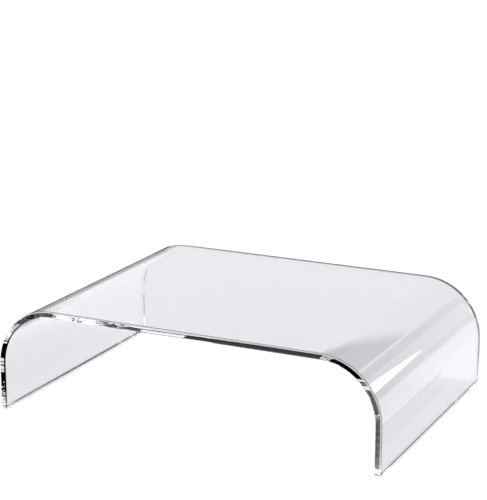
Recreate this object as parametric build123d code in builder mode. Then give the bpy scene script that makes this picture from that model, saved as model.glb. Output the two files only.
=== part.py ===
from build123d import *
import os

# Clear acrylic monitor riser: one sheet, bent down at both ends into legs, standing on four thin pads.
# Frame: origin at the middle of the base, +X along the width, +Y towards the back, +Z up. Millimetres.

width = 500.0  # outside of one leg to outside of the other
depth = 350.0  # front edge to back edge
height = 134.0  # desk to shelf top
sheet_thickness = 8.0
bend_radius = 75.0  # outside of both bends
edge_bevel = 1.5  # polished bevel on every cut edge of the sheet

pad_thickness = 1.0
pad_width = 5.0  # across the leg, inside the bevelled foot face
pad_length = 20.0  # along the leg
pad_corner_radius = 2.0
pad_end_gap = 12.0  # pad end to the end of the leg

inner_bend_radius = bend_radius - sheet_thickness
half_width = width / 2
bend_start = half_width - bend_radius  # where the flat shelf ends and a bend begins
leg_top = height - bend_radius  # where a bend ends and the straight leg begins
foot_level = pad_thickness
leg_middle = half_width - sheet_thickness / 2
pad_middle = depth / 2 - pad_end_gap - pad_length / 2

os.makedirs("parts", exist_ok=True)


# ---- bent sheet: shelf, two bends and two legs in one piece ----
with BuildPart() as riser_sheet:
    with BuildSketch(Plane.XZ) as section:
        with BuildLine() as outline:
            left_foot = Line((-half_width, foot_level), (-half_width, leg_top))
            RadiusArc(left_foot @ 1, (-bend_start, height), bend_radius)
            shelf_top = Line((-bend_start, height), (bend_start, height))
            RadiusArc(shelf_top @ 1, (half_width, leg_top), bend_radius)
            Line((half_width, leg_top), (half_width, foot_level))
            Line((half_width, foot_level), (half_width - sheet_thickness, foot_level))
            right_inside = Line(
                (half_width - sheet_thickness, foot_level), (half_width - sheet_thickness, leg_top)
            )
            RadiusArc(right_inside @ 1, (bend_start, height - sheet_thickness), -inner_bend_radius)
            shelf_underside = Line(
                (bend_start, height - sheet_thickness), (-bend_start, height - sheet_thickness)
            )
            RadiusArc(
                shelf_underside @ 1, (-half_width + sheet_thickness, leg_top), -inner_bend_radius
            )
            Line((-half_width + sheet_thickness, leg_top), (-half_width + sheet_thickness, foot_level))
            Line((-half_width + sheet_thickness, foot_level), left_foot @ 0)
        make_face()
    extrude(amount=depth / 2, both=True)

    # The lines along Y above the feet are only where flats run into bends, so they stay smooth.
    end_outlines = riser_sheet.edges().filter_by(Axis.Y, reverse=True)
    foot_lines = riser_sheet.edges().filter_by(Axis.Y).group_by(Axis.Z)[0]
    chamfer(end_outlines + foot_lines, edge_bevel)

riser_sheet.part.label = "riser_sheet"
export_step(riser_sheet.part, "parts/riser_sheet.step")


# ---- clear non-slip pads, stuck under both ends of each leg ----
def make_pad(name, centre_x, centre_y):
    with BuildPart() as pad:
        with BuildSketch(Plane.XY):
            with Locations((centre_x, centre_y)):
                RectangleRounded(pad_width, pad_length, pad_corner_radius)
        extrude(amount=pad_thickness)
    pad.part.label = name
    export_step(pad.part, f"parts/{name}.step")
    return pad


for end_name, end_sign in (("front", -1), ("rear", 1)):
    for side_name, side_sign in (("left", -1), ("right", 1)):
        make_pad(f"pad_{end_name}_{side_name}", side_sign * leg_middle, end_sign * pad_middle)
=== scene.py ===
import math

import bpy
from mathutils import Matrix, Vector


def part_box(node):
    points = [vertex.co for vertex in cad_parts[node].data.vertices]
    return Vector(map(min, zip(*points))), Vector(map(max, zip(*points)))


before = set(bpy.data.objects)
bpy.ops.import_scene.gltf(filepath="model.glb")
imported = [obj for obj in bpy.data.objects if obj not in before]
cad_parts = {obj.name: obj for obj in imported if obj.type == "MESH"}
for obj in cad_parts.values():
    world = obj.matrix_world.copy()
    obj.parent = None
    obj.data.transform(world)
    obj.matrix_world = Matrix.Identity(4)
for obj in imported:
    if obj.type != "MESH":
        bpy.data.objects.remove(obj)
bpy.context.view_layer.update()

scene = bpy.context.scene

# ---- sizes read from the sheet's CAD box, in metres ----
half_width, half_depth, shelf_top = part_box("riser_sheet")[1]

# ---- camera, at the photograph's viewing angle ----
CAMERA_PLACE = (0.8349, -1.7296, 0.7041)
CAMERA_YAW = 0.451
CAMERA_PITCH = 0.262
CAMERA_LENS = 116.17
CAMERA_SENSOR = 36.0

camera_data = bpy.data.cameras.new("camera")
camera_data.sensor_width = CAMERA_SENSOR
camera_data.lens = CAMERA_LENS
camera = bpy.data.objects.new("camera", camera_data)
camera.location = CAMERA_PLACE
camera.rotation_euler = (math.pi / 2 - CAMERA_PITCH, 0.0, CAMERA_YAW)
scene.collection.objects.link(camera)
scene.camera = camera

WHITE = (1.0, 1.0, 1.0, 1.0)


# ---- helpers for node trees ----
class Tree:
    """Clears the node tree of a material or world, then adds nodes to it and links them by socket."""

    def __init__(self, owner):
        owner.use_nodes = True
        self.tree = owner.node_tree
        self.tree.nodes.clear()

    def node(self, kind, **settings):
        made = self.tree.nodes.new(kind)
        for key, value in settings.items():
            setattr(made, key, value)
        return made

    def put(self, socket, value):
        if isinstance(value, bpy.types.NodeSocket):
            self.tree.links.new(value, socket)
        else:
            socket.default_value = value

    def math(self, operation, *values):
        made = self.node("ShaderNodeMath", operation=operation)
        for socket, value in zip(made.inputs, values):
            self.put(socket, value)
        return made.outputs[0]

    def times(self, first, *others):
        for other in others:
            first = self.math("MULTIPLY", first, other)
        return first

    def over(self, value, limit):
        return self.math("GREATER_THAN", value, limit)

    def under(self, value, limit):
        return self.math("LESS_THAN", value, limit)

    def span(self, value, low, high, out_low=0.0, out_high=1.0, smooth=True):
        """Goes from out_low at low to out_high at high, and stays there beyond them."""
        made = self.node("ShaderNodeMapRange", clamp=True)
        made.interpolation_type = "SMOOTHSTEP" if smooth else "LINEAR"
        for index, item in enumerate((value, low, high, out_low, out_high)):
            self.put(made.inputs[index], item)
        return made.outputs[0]

    def between(self, value, edges):
        """1 between the inner two of four edges, falling to 0 at the outer two."""
        rise = self.span(value, edges[0], edges[1])
        return self.times(rise, self.span(value, edges[2], edges[3], 1.0, 0.0))

    def blend(self, factor, first, second):
        """Goes from the first value to the second with the factor."""
        gap = self.math("SUBTRACT", second, first)
        return self.math("ADD", first, self.times(gap, factor))

    def noise(self, where, scale, detail=2.0, roughness=0.5, distortion=0.0):
        made = self.node("ShaderNodeTexNoise")
        self.put(made.inputs["Vector"], where)
        made.inputs["Scale"].default_value = scale
        made.inputs["Detail"].default_value = detail
        made.inputs["Roughness"].default_value = roughness
        made.inputs["Distortion"].default_value = distortion
        return made.outputs["Fac"]

    def stretched_noise(self, where, scales, detail=2.0, roughness=0.5, distortion=0.0):
        made = self.node("ShaderNodeVectorMath", operation="MULTIPLY")
        self.put(made.inputs[0], where)
        made.inputs[1].default_value = scales
        return self.noise(made.outputs[0], 1.0, detail, roughness, distortion)

    def mix_colour(self, factor, first, second):
        made = self.node("ShaderNodeMix", data_type="RGBA")
        for index, item in ((0, factor), (6, first), (7, second)):
            self.put(made.inputs[index], item)
        return made.outputs[2]

    def axes(self, vector):
        made = self.node("ShaderNodeSeparateXYZ")
        self.put(made.inputs[0], vector)
        return made.outputs

    def bump(self, height, strength, distance):
        made = self.node("ShaderNodeBump")
        made.inputs["Strength"].default_value = strength
        made.inputs["Distance"].default_value = distance
        self.put(made.inputs["Height"], height)
        return made.outputs[0]

    def shader(self, kind, values):
        made = self.node(kind)
        for name, value in values.items():
            self.put(made.inputs[name], value)
        return made.outputs[0]

    def mix_shader(self, factor, first, second):
        made = self.node("ShaderNodeMixShader")
        for index, item in enumerate((factor, first, second)):
            self.put(made.inputs[index], item)
        return made.outputs[0]

    def output(self, kind, **sockets):
        made = self.node(kind)
        for name, value in sockets.items():
            self.put(made.inputs[name], value)


def new_material(name):
    material = bpy.data.materials.new(name)
    return material, Tree(material)


# ---- clear acrylic, lengths in metres ----
ACRYLIC_IOR = 1.49
DEPTH_COLOUR = (0.90, 0.93, 0.96, 1.0)
FACE_COLOURS = ((0.96, 0.952, 0.965, 1.0), (0.985, 0.98, 0.99, 1.0))
CUT_COLOUR = (0.86, 0.865, 0.88, 1.0)
CLOUD_SCALE = 6.0
BUMP_STRENGTH = 0.25
BUMP_DISTANCE = 0.0004

# where the normal faces front or back
CUT_FACING = (0.3, 0.6)
BEVEL_FACING = (0.4, 0.5, 0.85, 0.95)
FACING_STRAIGHT = 0.9
BEVEL_SLANT = 0.4

# where the sheet bends, in from its side and down from its top
BEND_SIDE = (0.08, 0.03)
BEND_DROP = (0.085, 0.04)
RIPPLE_SCALES = (45.0, 4.0, 45.0)
RIPPLE_HEIGHT = (0.08, 0.5)
MARKS_SCALE = 700.0
MARKS_HEIGHT = 0.05
HAIR_SCALES = (35.0, 1400.0, 35.0)
HAIR_SPAN = (0.72, 0.78)
HAIR_ROUGH = 0.02

POLISHED_ROUGH = 0.008
LEG_ROUGH = 0.12
LEG_DROP = (0.05, 0.075)
PATCH_SCALES = (0.0, 0.0, 55.0)
NOISE_SPLIT = (0.44, 0.50)
BEVEL_ROUGH = 0.35
BEVEL_MATT = (0.001, 0.0011)
OPENING_CENTRE = 0.02

# painted glow (emission) standing in for light leaving through the edges, and the heights on the front edge
# where it is painted
BEVEL_GLOW = 0.62
FOOT_GLOW = (0.15, 0.55)
FOOT_TOP = 0.002
GLINT_GLOW = 0.8
GLINT_SOFT = 0.0005
GLINT_SCALES = (30.0, 0.0, 420.0)
LEFT_GLINTS = ((0.000, 0.024), (0.048, 0.066), (0.084, 0.104))
RIGHT_GLINTS = ((0.000, 0.012), (0.100, 0.111))
GREY_GLOW = (0.02, 0.11)
GREY_TURN = (0.072, 0.079)
GREY_HEIGHTS = ((0.0, 0.100),)

# painted shade: dark lines and strokes
PAINTED_LINE_SHADE = (0.006, 0.006, 0.007, 1.0)
LINE_SIDE = 0.004
LINE_TOP = 0.003
PAINTED_STROKE_SHADE = (0.008, 0.008, 0.01, 1.0)
STROKE_SCALES = (260.0, 0.0, 90.0)
STROKE_SPLIT = (0.34, 0.40)
STROKE_Z = (0.110, 0.114)
STROKE_X = (-0.172, -0.166)


def acrylic():
    material, t = new_material("acrylic_sheet")
    coords = t.node("ShaderNodeTexCoord").outputs["Object"]
    x, y, z = t.axes(coords)
    normal_x, normal_y, normal_z = t.axes(t.node("ShaderNodeNewGeometry").outputs["Normal"])
    along = t.math("ABSOLUTE", normal_y)
    on_cut = t.span(along, *CUT_FACING)
    past_flat = t.span(t.math("ABSOLUTE", x), half_width - BEND_SIDE[0], half_width - BEND_SIDE[1])
    above_leg = t.span(z, shelf_top - BEND_DROP[0], shelf_top - BEND_DROP[1])
    on_bend = t.times(past_flat, above_leg)

    # Heat-forming leaves long low ripples along the bends, and the sheet is hardly wavy elsewhere.
    ripple = t.math("SUBTRACT", t.stretched_noise(coords, RIPPLE_SCALES, 1.0, 0.4), 0.5)
    ripple = t.times(ripple, t.math("MULTIPLY_ADD", on_bend, RIPPLE_HEIGHT[1], RIPPLE_HEIGHT[0]))
    # Polishing leaves fine marks across the cut edges.
    marks = t.math("SUBTRACT", t.noise(coords, MARKS_SCALE), 0.5)
    marks = t.times(marks, t.times(on_cut, MARKS_HEIGHT))
    # There are a few hairline scratches from use.
    hair = t.span(t.stretched_noise(coords, HAIR_SCALES, 1.0, 0.5, 0.4), *HAIR_SPAN)

    # The faces pass slightly less light than the sheet would alone, and the cut edges less again.
    face = t.mix_colour(t.noise(coords, CLOUD_SCALE), *FACE_COLOURS)
    colour = t.mix_colour(on_cut, face, CUT_COLOUR)

    # The legs' cut edges are less polished than the shelf's, the left one in patches.
    on_right = t.over(x, 0.0)
    patches = t.span(t.stretched_noise(coords, PATCH_SCALES, 0.0), *NOISE_SPLIT)
    patches = t.math("MAXIMUM", patches, on_right)
    on_leg = t.span(z, shelf_top - LEG_DROP[0], shelf_top - LEG_DROP[1], 0.0, LEG_ROUGH)
    satin = t.times(on_cut, t.math("MULTIPLY_ADD", on_leg, patches, POLISHED_ROUGH))

    # The front outer bevel is filed matt, and its white look is a painted glow (emission) added further down.
    on_bevel = t.between(along, BEVEL_FACING)
    on_front = t.span(y, BEVEL_MATT[0] - half_depth, BEVEL_MATT[1] - half_depth, 1.0, 0.0)
    outward = t.times(normal_z, t.math("SUBTRACT", z, OPENING_CENTRE))
    outward = t.math("ADD", outward, t.times(normal_x, x))
    on_outside = t.over(outward, 0.0)
    matt_and_painted_glow = t.times(on_bevel, on_front, on_outside)
    satin = t.math("MULTIPLY_ADD", matt_and_painted_glow, BEVEL_ROUGH, satin)
    rough = t.math("MULTIPLY_ADD", hair, HAIR_ROUGH, satin)

    # Painted glow: emission on the feet, on the front bevel and in glints on the legs' fronts stands in for
    # light that the sheet gathers and lets out through its edges; the right leg's front also gets a painted
    # grey glow up to its upper glints.
    def at_heights(ranges):
        total = 0.0
        for low, high in ranges:
            edges = (low - GLINT_SOFT, low + GLINT_SOFT, high - GLINT_SOFT, high + GLINT_SOFT)
            total = t.math("ADD", total, t.between(z, edges))
        return total

    streaks = t.span(t.stretched_noise(coords, GLINT_SCALES, 1.0), *NOISE_SPLIT)
    painted_glints = t.blend(on_right, at_heights(LEFT_GLINTS), at_heights(RIGHT_GLINTS))
    painted_glints = t.times(painted_glints, streaks, GLINT_GLOW)
    painted_grey_glow = t.times(t.span(z, *GREY_TURN, *GREY_GLOW), at_heights(GREY_HEIGHTS))
    facing_front = t.under(normal_y, -FACING_STRAIGHT)
    painted_glow = t.times(t.math("MULTIPLY_ADD", painted_grey_glow, on_right, painted_glints), facing_front)
    painted_foot_glow = t.times(t.under(normal_z, -FACING_STRAIGHT), t.under(z, FOOT_TOP))
    painted_glow = t.math("MULTIPLY_ADD", painted_foot_glow, t.span(on_right, 0.0, 1.0, *FOOT_GLOW), painted_glow)
    painted_glow = t.math("MULTIPLY_ADD", matt_and_painted_glow, BEVEL_GLOW, painted_glow)

    # Painted shade: the left bend's front edge is darkened in strokes, standing in for dark reflections
    # there.
    strokes = t.span(t.stretched_noise(coords, STROKE_SCALES), *STROKE_SPLIT)
    painted_shade_strokes = t.times(t.span(z, *STROKE_Z), t.span(x, *STROKE_X, 1.0, 0.0), strokes, facing_front)
    colour = t.mix_colour(painted_shade_strokes, colour, PAINTED_STROKE_SHADE)
    # Painted shade: the outer bevels of the rear and of the right foot are darkened into thin lines, standing
    # in for dark reflections.
    right_foot = t.times(t.under(normal_z, -BEVEL_SLANT), t.over(normal_x, BEVEL_SLANT),
                         t.over(x, half_width - LINE_SIDE), t.under(z, LINE_TOP))
    painted_dark_line = t.math("MAXIMUM", t.times(on_bevel, on_outside, t.over(y, 0.0)), right_foot)
    colour = t.mix_colour(painted_dark_line, colour, PAINTED_LINE_SHADE)

    surface = t.shader("ShaderNodeBsdfPrincipled", {
        "Transmission Weight": 1.0,
        "IOR": ACRYLIC_IOR,
        "Base Color": colour,
        "Roughness": rough,
        "Normal": t.bump(t.math("ADD", ripple, marks), BUMP_STRENGTH, BUMP_DISTANCE),
        "Emission Color": WHITE,
        "Emission Strength": painted_glow,
    })
    volume = t.shader("ShaderNodeVolumeAbsorption", {"Color": DEPTH_COLOUR, "Density": 1.0})
    t.output("ShaderNodeOutputMaterial", Surface=surface, Volume=volume)
    return material


# ---- clear silicone of the pads ----
SILICONE_IOR = 1.41
SILICONE_COLOURS = ((0.82, 0.83, 0.84, 1.0), (0.93, 0.93, 0.94, 1.0))
SILICONE_CLEAR = 0.85
GRAIN_SCALE = 900.0
GRAIN_ROUGH = (0.3, 0.7, 0.28, 0.42)
GRAIN_STRENGTH = 0.2
GRAIN_DISTANCE = 0.0002


def silicone():
    material, t = new_material("silicone_pad")
    coords = t.node("ShaderNodeTexCoord").outputs["Object"]
    grain = t.noise(coords, GRAIN_SCALE, 3.0, 0.6)
    surface = t.shader("ShaderNodeBsdfPrincipled", {
        "Transmission Weight": SILICONE_CLEAR,
        "IOR": SILICONE_IOR,
        "Base Color": t.mix_colour(grain, *SILICONE_COLOURS),
        "Roughness": t.span(grain, *GRAIN_ROUGH),
        "Normal": t.bump(grain, GRAIN_STRENGTH, GRAIN_DISTANCE),
    })
    t.output("ShaderNodeOutputMaterial", Surface=surface)
    return material


acrylic_material = acrylic()
silicone_material = silicone()
for node_name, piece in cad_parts.items():
    piece.data.materials.clear()
    piece.data.materials.append(acrylic_material if node_name == "riser_sheet" else silicone_material)


# ---- staging on the floor ----
def flat_stage(name, outline, level, material):
    mesh = bpy.data.meshes.new(name)
    mesh.from_pydata([(a, b, level) for a, b in outline], [], [tuple(range(len(outline)))])
    mesh.materials.append(material)
    made = bpy.data.objects.new(name, mesh)
    scene.collection.objects.link(made)
    return made


def rectangle(low_x, low_y, high_x, high_y):
    return [(low_x, low_y), (high_x, low_y), (high_x, high_y), (low_x, high_y)]


# The floor is lifted to white where the camera sees it, and lifted for light that the sheet mirrors.
FLOOR_HALF = 6.0
FLOOR_LEVEL = -0.0004
FLOOR_COLOUR = (0.77, 0.763, 0.775, 1.0)
CAMERA_LIFT = 0.35
MIRROR_LIFT = 0.50


def floor_white():
    material, t = new_material("floor_white")
    path = t.node("ShaderNodeLightPath").outputs
    lift = t.times(t.over(path["Glossy Depth"], 0.5), MIRROR_LIFT)
    lift = t.math("MULTIPLY_ADD", path["Is Camera Ray"], CAMERA_LIFT, lift)
    surface = t.shader("ShaderNodeBsdfPrincipled", {
        "Base Color": FLOOR_COLOUR,
        "Roughness": 0.9,
        "Specular IOR Level": 0.1,
        "Emission Color": WHITE,
        "Emission Strength": lift,
    })
    t.output("ShaderNodeOutputMaterial", Surface=surface)
    return material


flat_stage("floor", rectangle(-FLOOR_HALF, -FLOOR_HALF, FLOOR_HALF, FLOOR_HALF), FLOOR_LEVEL, floor_white())

# Black flags lie on the floor, met only by light that the sheet has mirrored. Each has an outline, how many
# mirrorings it takes to meet it, whether they have to be inside the sheet, and a shade.
FLAG_LEVEL = 0.0008
FLAGS = {
    "flag_left": ([(-4.0, 0.15), (-0.56, 0.15), (-0.56, 0.75), (-1.2, 4.0), (-4.0, 4.0)], 1, False, 0.01),
    "flag_front": (rectangle(-1.0, -0.75, 0.5, -0.21), 1, False, 0.01),
    "flag_middle": (rectangle(0.02, -0.21, 0.22, 0.13), 1, True, 0.01),
    "flag_outer": (rectangle(-0.50, -0.21, -0.27, 0.15), 1, True, 0.01),
    "flag_side": (rectangle(0.25, -0.21, 0.31, 0.17), 1, True, 0.50),
    "flag_right": (rectangle(0.0, 0.18, 0.45, 0.50), 4, True, 0.01),
    "flag_back": (rectangle(-0.292, 0.40, -0.062, 0.95), 4, True, 0.06),
}


def flag_black(name, mirrorings, inside_only, shade):
    """Black for the light described, and nothing at all for the rest."""
    material, t = new_material(name)
    path = t.node("ShaderNodeLightPath").outputs
    shown = t.over(path["Glossy Depth"], mirrorings - 0.5)
    if inside_only:
        shown = t.times(shown, t.over(path["Transmission Depth"], 0.5))
    clear = t.shader("ShaderNodeBsdfTransparent", {})
    black = t.shader("ShaderNodeBsdfDiffuse", {"Color": (shade, shade, shade, 1.0)})
    t.output("ShaderNodeOutputMaterial", Surface=t.mix_shader(shown, clear, black))
    return material


for flag_name, (outline, mirrorings, inside_only, shade) in FLAGS.items():
    material = flag_black(flag_name, mirrorings, inside_only, shade)
    flag = flat_stage(flag_name, outline, FLAG_LEVEL, material)
    flag.visible_camera = False
    flag.visible_diffuse = False
    flag.visible_shadow = False

# ---- studio: a pale surround with a dark arch, grey bands, a bright strip and a soft box overhead ----
# A direction has a height, a sideways part, and the ring and angle that these two make, the angle in degrees.
PALE = 0.94
PALE_TINT = (1.0, 0.99, 1.01, 1.0)
CAMERA_WHITE = 1.05
DIFFUSE_LIGHT = 0.99

ARCH_TOP = 0.461
ARCH_CENTRE = -0.03
ARCH_BEND = 1.15
ARCH_FOOT = 0.36
ARCH_SOFT = 0.008
ARCH_SIDE = (0.207, 0.223)
CAP_Z = (0.40, 0.43)
CAP_RING = (0.49, 0.51)
BOX_EDGE = (0.58, 0.64)
BOX_LIGHT = 1.34

# Each grey band has four angles, the rings over which its depth changes, and its depth at both.
BAND_RING = (0.40, 0.47)
BANDS = (
    ((38.0, 43.0, 56.5, 58.5), BAND_RING, (0.25, 0.8)),
    ((15.0, 20.0, 38.0, 43.0), BAND_RING, (0.0, 0.35)),
    ((-2.0, 3.0, 12.0, 15.0), BAND_RING, (0.12, 0.45)),
    ((164.0, 173.0, 181.0, 182.0), (0.50, 0.54), (0.0, 0.5)),
)
# Straight ahead and behind, the bands give way to one light grey.
STRAIGHT_RING = (0.06, 0.20)
STRAIGHT_SHADE = 0.35

STRIP_RING = (0.441, 0.475)
STRIP_START = (0.441, 0.449)
STRIP_MIDDLE = (19.0, 23.0)
STRIP_HALF = (0.0, 8.5)
STRIP_SOFT = 1.2
STRIP_BACK = (-0.45, -0.15)
STRIP_LIGHT = 3.5

INNER_DARK = 0.012
INNER_GREY = (0.26, 1.0)
INNER_RING = (0.52, 0.56)
INNER_TURN = (64.0, 82.0)

world = bpy.data.worlds.new("studio")
scene.world = world
t = Tree(world)
side_way, back_way, up = t.axes(t.node("ShaderNodeTexCoord").outputs["Generated"])
ring = t.math("SQRT", t.math("ADD", t.times(side_way, side_way), t.times(up, up)))
angle = t.times(t.math("ARCTAN2", up, side_way), 180.0 / math.pi)

from_centre = t.math("SUBTRACT", side_way, ARCH_CENTRE)
arch = t.math("SUBTRACT", ARCH_TOP, t.times(from_centre, from_centre, ARCH_BEND))
arch = t.math("MAXIMUM", arch, ARCH_FOOT)
dark = t.span(t.math("SUBTRACT", up, arch), -ARCH_SOFT, ARCH_SOFT)
dark = t.times(dark, t.span(side_way, *ARCH_SIDE, 1.0, 0.0))
cap = t.times(t.span(up, *CAP_Z), t.span(ring, *CAP_RING))
dark = t.math("MAXIMUM", dark, cap)

shade = 0.0
for angles, rings, depths in BANDS:
    shade = t.math("MAXIMUM", shade, t.times(t.between(angle, angles), t.span(ring, *rings, *depths)))
shade = t.times(shade, t.span(ring, *STRAIGHT_RING))
straight = t.span(ring, *STRAIGHT_RING, 1.0, 0.0)
shade = t.math("MULTIPLY_ADD", straight, STRAIGHT_SHADE, shade)
level = t.times(t.math("SUBTRACT", 1.0, shade), PALE)

strip_middle = t.span(ring, *STRIP_RING, *STRIP_MIDDLE, smooth=False)
strip_half = t.span(ring, *STRIP_RING, *STRIP_HALF, smooth=False)
off_middle = t.math("ABSOLUTE", t.math("SUBTRACT", angle, strip_middle))
strip = t.span(t.math("SUBTRACT", off_middle, strip_half), -STRIP_SOFT, STRIP_SOFT, 1.0, 0.0)
strip = t.times(strip, t.span(ring, *STRIP_START), t.span(back_way, *STRIP_BACK))

level = t.blend(strip, level, STRIP_LIGHT)
level = t.times(level, t.math("SUBTRACT", 1.0, dark))
level = t.blend(t.span(up, *BOX_EDGE), level, BOX_LIGHT)

# Light that has travelled inside the sheet meets a dark right side, which is what blackens the cut edges.
path = t.node("ShaderNodeLightPath").outputs
inside = t.times(t.over(path["Glossy Depth"], 1.5), t.over(path["Transmission Depth"], 0.5))
inner = t.span(angle, *INNER_TURN, INNER_DARK, t.span(ring, *INNER_RING, *INNER_GREY))
level = t.blend(inside, level, inner)
level = t.blend(t.over(path["Diffuse Depth"], 0.5), level, DIFFUSE_LIGHT)

studio = t.shader("ShaderNodeBackground", {"Color": PALE_TINT, "Strength": level})
white = t.shader("ShaderNodeBackground", {"Color": WHITE, "Strength": CAMERA_WHITE})
t.output("ShaderNodeOutputWorld", Surface=t.mix_shader(path["Is Camera Ray"], studio, white))

# Twelve mirrorings leave the deepest parts of the cut edges black.
scene.view_settings.view_transform = "Standard"
scene.view_settings.look = "None"
scene.cycles.max_bounces = 64
scene.cycles.transmission_bounces = 64
scene.cycles.glossy_bounces = 12
scene.cycles.diffuse_bounces = 4
scene.cycles.blur_glossy = 0.0
